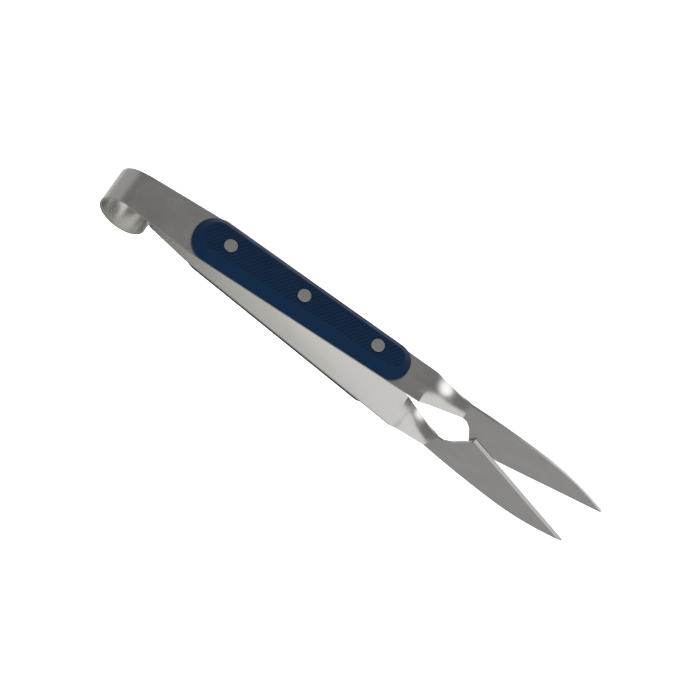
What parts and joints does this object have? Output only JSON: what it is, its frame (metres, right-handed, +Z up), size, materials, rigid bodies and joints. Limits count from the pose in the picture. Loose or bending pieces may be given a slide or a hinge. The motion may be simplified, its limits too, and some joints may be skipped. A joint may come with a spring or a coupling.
{
  "type": "spring snips",
  "caption": "One-hand spring snips: two steel strip arms spread from a round loop, with navy riveted scales and crossing pointed blades.",
  "frame": {"origin": "Under the middle of the bounding box, on the plane that the snips lie on. They lie on their side, on one edge of the strips.", "axes": "+X runs along the tool from the loop to the blade tips, +Y from the lower arm to the upper arm, +Z up, across the width of the strips."},
  "size_m": [0.165, 0.0446, 0.0141],
  "materials": {
    "spring_steel": "satin, brushed along the strip",
    "navy_plastic": "moulded, fine slanting grip ridges, semi-matt",
    "rivet_steel": "ground flush, turned"
  },
  "bodies": {
    "lower_arm": {"lower_blade_arm": "spring_steel", "spring_loop": "spring_steel", "lower_scale": "navy_plastic", "lower_rivet_1": "rivet_steel", "lower_rivet_2": "rivet_steel", "lower_rivet_3": "rivet_steel"},
    "upper_arm": {"upper_blade_arm": "spring_steel", "upper_scale": "navy_plastic", "upper_rivet_1": "rivet_steel", "upper_rivet_2": "rivet_steel", "upper_rivet_3": "rivet_steel"}
  },
  "joints": [
    {"name": "squeeze", "type": "hinge", "parent": "lower_arm", "child": "upper_arm", "pos_m": [-0.073, -0.0045, 0.00702], "axis": [0, 0, -1], "range_deg": [0, 10.5], "stiffness_Nm_per_rad": 2, "deforming": ["spring_loop"]}
  ]
}
